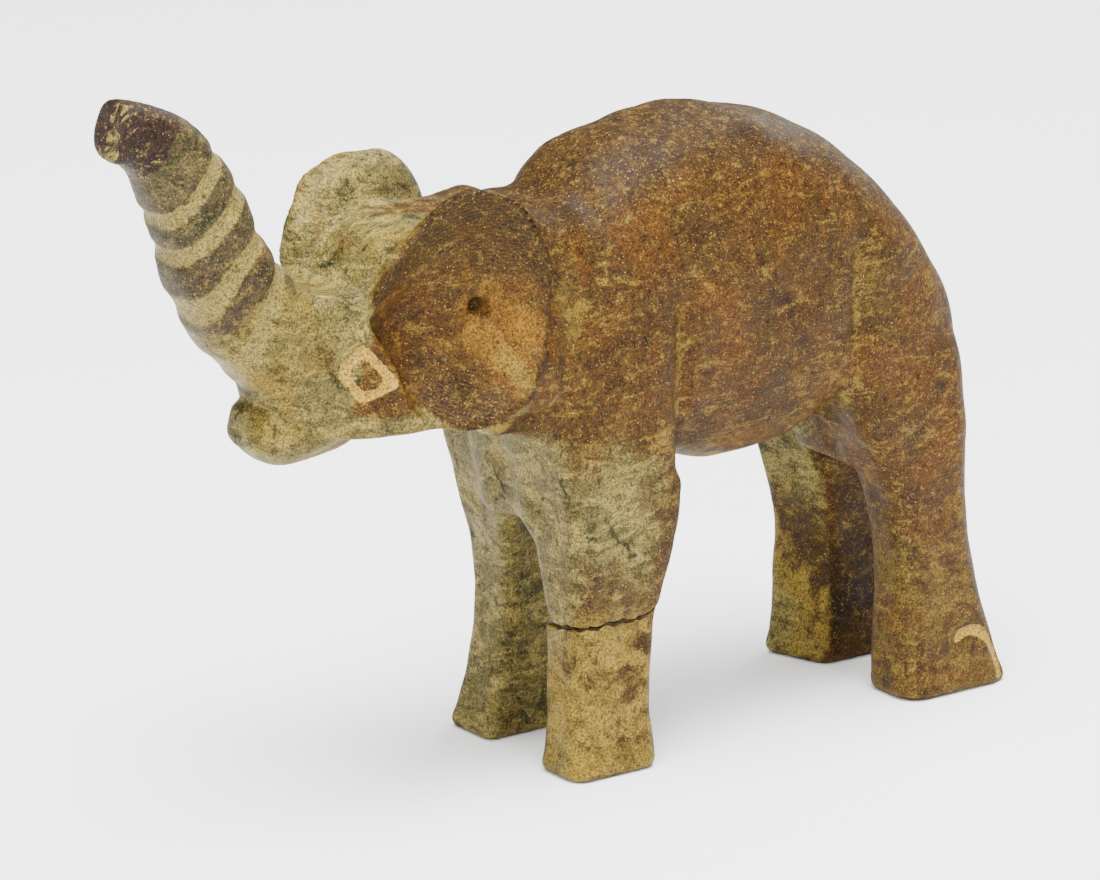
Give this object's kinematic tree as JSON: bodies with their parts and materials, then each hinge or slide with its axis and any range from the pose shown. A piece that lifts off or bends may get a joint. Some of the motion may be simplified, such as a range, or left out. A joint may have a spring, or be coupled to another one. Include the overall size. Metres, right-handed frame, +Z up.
{
  "type": "soapstone elephant figurine",
  "caption": "Hand-carved soapstone elephant standing with its trunk raised, one foreleg broken and glued back; a small shelf ornament",
  "frame": {"origin": "On the ground under the middle of the outline, at the height of the soles", "axes": "+Z up; the head and trunk towards -X, the tail end towards +X; the animal's left side towards -Y"},
  "size_m": [0.1074, 0.0254, 0.0769],
  "materials": {
    "soapstone": "waxed and rubbed, satin",
    "leg_soapstone": "waxed and rubbed, satin",
    "glue": "hardened dark adhesive, glossy"
  },
  "bodies": {
    "root": {"elephant_body": "soapstone", "left_foreleg_lower": "leg_soapstone", "glue_seam": "glue"}
  },
  "joints": []
}
